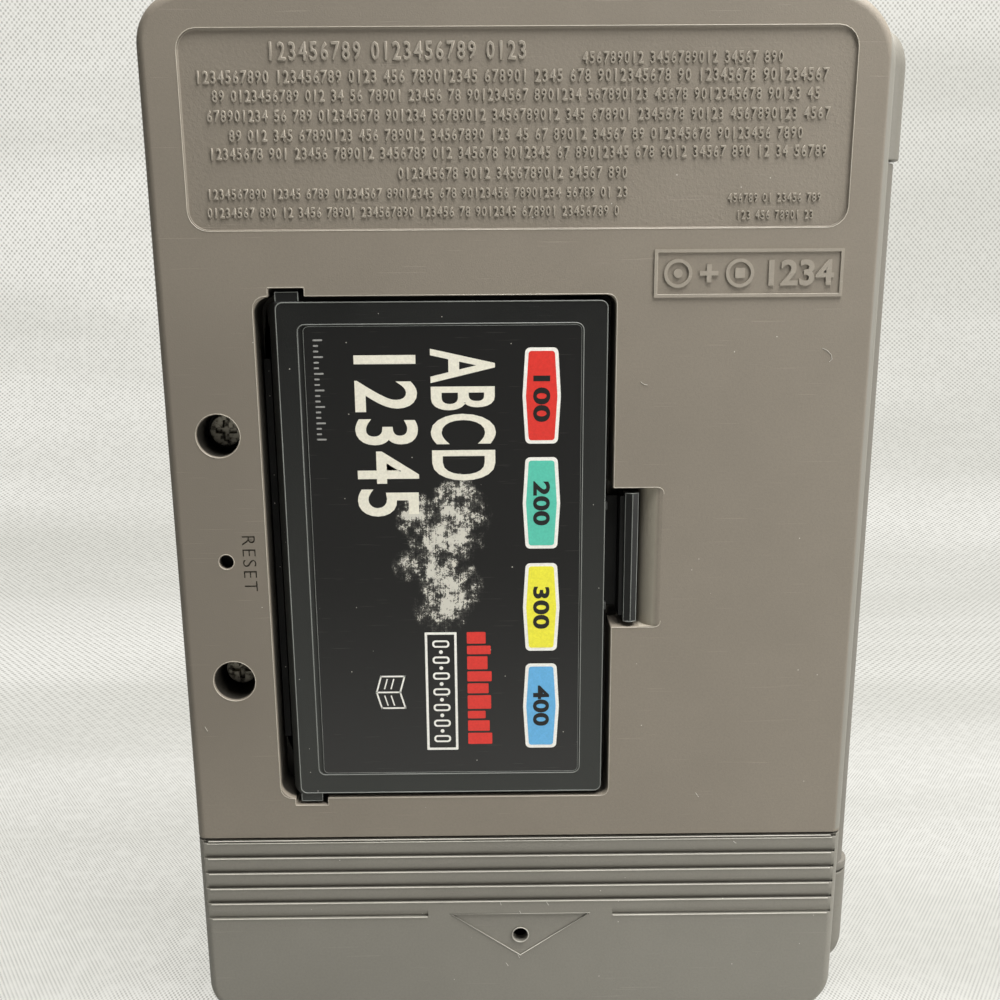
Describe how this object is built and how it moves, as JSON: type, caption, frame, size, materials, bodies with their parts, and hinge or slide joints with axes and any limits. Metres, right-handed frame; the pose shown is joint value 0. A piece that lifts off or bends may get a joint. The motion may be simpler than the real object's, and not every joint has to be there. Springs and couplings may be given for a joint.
{
  "type": "electronic dictionary",
  "caption": "Pocket electronic dictionary with a flip lid, keyboard, display and a plug-in book card in its back, closed and standing on its battery end.",
  "frame": {"origin": "middle of the battery end's face that the closed dictionary stands on, midway across the case", "axes": "+Z along the case from the battery end to the far end, -Y out of the back with the book card, +X towards the hinge"},
  "size_m": [0.086, 0.015, 0.127],
  "materials": {
    "case": "fine-grained moulded plastic",
    "lid": "fine-grained moulded plastic",
    "door": "fine-grained moulded plastic",
    "card": "semi-matte moulded plastic",
    "label": "satin printed label",
    "socket": "moulded nylon",
    "gold": "gold-plated spring pins",
    "contacts": "nickel-plated spring steel",
    "cells": "pressed steel",
    "steel": "ground steel",
    "screw": "dulled steel",
    "keys": "moulded plastic",
    "key_red": "moulded plastic",
    "key_green": "moulded plastic",
    "key_yellow": "moulded plastic",
    "key_blue": "moulded plastic",
    "lens": "clear acrylic",
    "lcd": "reflective display glass",
    "zebra": "layered silicone",
    "mat": "silicone",
    "board": "coated glass-fibre board",
    "chips": "moulded epoxy",
    "reset": "moulded plastic"
  },
  "bodies": {
    "body": {"rear_case": "case", "front_case": "case", "hinge_pins": "steel", "case_screws": "screw", "display_lens": "lens", "display_glass": "lcd", "zebra_strips": "zebra", "main_board": "board", "board_components": "chips", "key_mat": "mat", "coin_cells": "cells", "battery_contacts": "contacts", "card_socket": "socket", "socket_pins": "gold"},
    "lid": {"lid": "lid"},
    "battery_door": {"battery_door": "door"},
    "reset_button": {"reset_button": "reset"},
    "card": {"card_front_shell": "card", "card_back_shell": "card", "card_board": "board", "card_label": "label"},
    "card_latch": {"card_latch": "card"},
    "key_on_off": {"key_on_off": "keys"},
    "key_clear": {"key_clear": "keys"},
    "key_menu": {"key_menu": "keys"},
    "key_red": {"key_red": "key_red"},
    "key_green": {"key_green": "key_green"},
    "key_yellow": {"key_yellow": "key_yellow"},
    "key_blue": {"key_blue": "key_blue"},
    "key_q": {"key_q": "keys"},
    "key_w": {"key_w": "keys"},
    "key_e": {"key_e": "keys"},
    "key_r": {"key_r": "keys"},
    "key_t": {"key_t": "keys"},
    "key_y": {"key_y": "keys"},
    "key_u": {"key_u": "keys"},
    "key_i": {"key_i": "keys"},
    "key_o": {"key_o": "keys"},
    "key_p": {"key_p": "keys"},
    "key_a": {"key_a": "keys"},
    "key_s": {"key_s": "keys"},
    "key_d": {"key_d": "keys"},
    "key_f": {"key_f": "keys"},
    "key_g": {"key_g": "keys"},
    "key_h": {"key_h": "keys"},
    "key_j": {"key_j": "keys"},
    "key_k": {"key_k": "keys"},
    "key_l": {"key_l": "keys"},
    "key_z": {"key_z": "keys"},
    "key_x": {"key_x": "keys"},
    "key_c": {"key_c": "keys"},
    "key_v": {"key_v": "keys"},
    "key_b": {"key_b": "keys"},
    "key_n": {"key_n": "keys"},
    "key_m": {"key_m": "keys"},
    "key_up": {"key_up": "keys"},
    "key_enter": {"key_enter": "keys"},
    "key_space": {"key_space": "keys"},
    "key_down": {"key_down": "keys"},
    "key_back": {"key_back": "keys"}
  },
  "joints": [
    {"name": "battery_door_slide", "type": "slide", "parent": "body", "child": "battery_door", "axis": [0, 0, -1], "range_m": [0, 0.027]},
    {"name": "card_latch_flex", "type": "hinge", "parent": "card", "child": "card_latch", "pos_m": [0.0109, -0.0034, 0.0635], "axis": [0, 0, -1], "range_deg": [0, 7], "stiffness_Nm_per_rad": 0.05},
    {"name": "card_lift", "type": "slide", "parent": "body", "child": "card", "axis": [0, -1, 0], "range_m": [0, 0.014]},
    {"name": "lid_hinge", "type": "hinge", "parent": "body", "child": "lid", "pos_m": [0.0421, 0.0001, 0.0635], "axis": [0, 0, -1], "range_deg": [0, 178]},
    {"name": "press_reset", "type": "slide", "parent": "body", "child": "reset_button", "axis": [0, 1, 0], "range_m": [0, 0.0003], "stiffness_N_per_m": 300},
    {"name": "press_on_off", "type": "slide", "parent": "body", "child": "key_on_off", "axis": [0, -1, 0], "range_m": [0, 0.0006], "stiffness_N_per_m": 300},
    {"name": "press_clear", "type": "slide", "parent": "body", "child": "key_clear", "axis": [0, -1, 0], "range_m": [0, 0.0006], "stiffness_N_per_m": 300},
    {"name": "press_menu", "type": "slide", "parent": "body", "child": "key_menu", "axis": [0, -1, 0], "range_m": [0, 0.0006], "stiffness_N_per_m": 300},
    {"name": "press_red", "type": "slide", "parent": "body", "child": "key_red", "axis": [0, -1, 0], "range_m": [0, 0.0006], "stiffness_N_per_m": 300},
    {"name": "press_green", "type": "slide", "parent": "body", "child": "key_green", "axis": [0, -1, 0], "range_m": [0, 0.0006], "stiffness_N_per_m": 300},
    {"name": "press_yellow", "type": "slide", "parent": "body", "child": "key_yellow", "axis": [0, -1, 0], "range_m": [0, 0.0006], "stiffness_N_per_m": 300},
    {"name": "press_blue", "type": "slide", "parent": "body", "child": "key_blue", "axis": [0, -1, 0], "range_m": [0, 0.0006], "stiffness_N_per_m": 300},
    {"name": "press_q", "type": "slide", "parent": "body", "child": "key_q", "axis": [0, -1, 0], "range_m": [0, 0.0006], "stiffness_N_per_m": 300},
    {"name": "press_w", "type": "slide", "parent": "body", "child": "key_w", "axis": [0, -1, 0], "range_m": [0, 0.0006], "stiffness_N_per_m": 300},
    {"name": "press_e", "type": "slide", "parent": "body", "child": "key_e", "axis": [0, -1, 0], "range_m": [0, 0.0006], "stiffness_N_per_m": 300},
    {"name": "press_r", "type": "slide", "parent": "body", "child": "key_r", "axis": [0, -1, 0], "range_m": [0, 0.0006], "stiffness_N_per_m": 300},
    {"name": "press_t", "type": "slide", "parent": "body", "child": "key_t", "axis": [0, -1, 0], "range_m": [0, 0.0006], "stiffness_N_per_m": 300},
    {"name": "press_y", "type": "slide", "parent": "body", "child": "key_y", "axis": [0, -1, 0], "range_m": [0, 0.0006], "stiffness_N_per_m": 300},
    {"name": "press_u", "type": "slide", "parent": "body", "child": "key_u", "axis": [0, -1, 0], "range_m": [0, 0.0006], "stiffness_N_per_m": 300},
    {"name": "press_i", "type": "slide", "parent": "body", "child": "key_i", "axis": [0, -1, 0], "range_m": [0, 0.0006], "stiffness_N_per_m": 300},
    {"name": "press_o", "type": "slide", "parent": "body", "child": "key_o", "axis": [0, -1, 0], "range_m": [0, 0.0006], "stiffness_N_per_m": 300},
    {"name": "press_p", "type": "slide", "parent": "body", "child": "key_p", "axis": [0, -1, 0], "range_m": [0, 0.0006], "stiffness_N_per_m": 300},
    {"name": "press_a", "type": "slide", "parent": "body", "child": "key_a", "axis": [0, -1, 0], "range_m": [0, 0.0006], "stiffness_N_per_m": 300},
    {"name": "press_s", "type": "slide", "parent": "body", "child": "key_s", "axis": [0, -1, 0], "range_m": [0, 0.0006], "stiffness_N_per_m": 300},
    {"name": "press_d", "type": "slide", "parent": "body", "child": "key_d", "axis": [0, -1, 0], "range_m": [0, 0.0006], "stiffness_N_per_m": 300},
    {"name": "press_f", "type": "slide", "parent": "body", "child": "key_f", "axis": [0, -1, 0], "range_m": [0, 0.0006], "stiffness_N_per_m": 300},
    {"name": "press_g", "type": "slide", "parent": "body", "child": "key_g", "axis": [0, -1, 0], "range_m": [0, 0.0006], "stiffness_N_per_m": 300},
    {"name": "press_h", "type": "slide", "parent": "body", "child": "key_h", "axis": [0, -1, 0], "range_m": [0, 0.0006], "stiffness_N_per_m": 300},
    {"name": "press_j", "type": "slide", "parent": "body", "child": "key_j", "axis": [0, -1, 0], "range_m": [0, 0.0006], "stiffness_N_per_m": 300},
    {"name": "press_k", "type": "slide", "parent": "body", "child": "key_k", "axis": [0, -1, 0], "range_m": [0, 0.0006], "stiffness_N_per_m": 300},
    {"name": "press_l", "type": "slide", "parent": "body", "child": "key_l", "axis": [0, -1, 0], "range_m": [0, 0.0006], "stiffness_N_per_m": 300},
    {"name": "press_z", "type": "slide", "parent": "body", "child": "key_z", "axis": [0, -1, 0], "range_m": [0, 0.0006], "stiffness_N_per_m": 300},
    {"name": "press_x", "type": "slide", "parent": "body", "child": "key_x", "axis": [0, -1, 0], "range_m": [0, 0.0006], "stiffness_N_per_m": 300},
    {"name": "press_c", "type": "slide", "parent": "body", "child": "key_c", "axis": [0, -1, 0], "range_m": [0, 0.0006], "stiffness_N_per_m": 300},
    {"name": "press_v", "type": "slide", "parent": "body", "child": "key_v", "axis": [0, -1, 0], "range_m": [0, 0.0006], "stiffness_N_per_m": 300},
    {"name": "press_b", "type": "slide", "parent": "body", "child": "key_b", "axis": [0, -1, 0], "range_m": [0, 0.0006], "stiffness_N_per_m": 300},
    {"name": "press_n", "type": "slide", "parent": "body", "child": "key_n", "axis": [0, -1, 0], "range_m": [0, 0.0006], "stiffness_N_per_m": 300},
    {"name": "press_m", "type": "slide", "parent": "body", "child": "key_m", "axis": [0, -1, 0], "range_m": [0, 0.0006], "stiffness_N_per_m": 300},
    {"name": "press_up", "type": "slide", "parent": "body", "child": "key_up", "axis": [0, -1, 0], "range_m": [0, 0.0006], "stiffness_N_per_m": 300},
    {"name": "press_enter", "type": "slide", "parent": "body", "child": "key_enter", "axis": [0, -1, 0], "range_m": [0, 0.0006], "stiffness_N_per_m": 300},
    {"name": "press_space", "type": "slide", "parent": "body", "child": "key_space", "axis": [0, -1, 0], "range_m": [0, 0.0006], "stiffness_N_per_m": 300},
    {"name": "press_down", "type": "slide", "parent": "body", "child": "key_down", "axis": [0, -1, 0], "range_m": [0, 0.0006], "stiffness_N_per_m": 300},
    {"name": "press_back", "type": "slide", "parent": "body", "child": "key_back", "axis": [0, -1, 0], "range_m": [0, 0.0006], "stiffness_N_per_m": 300}
  ]
}
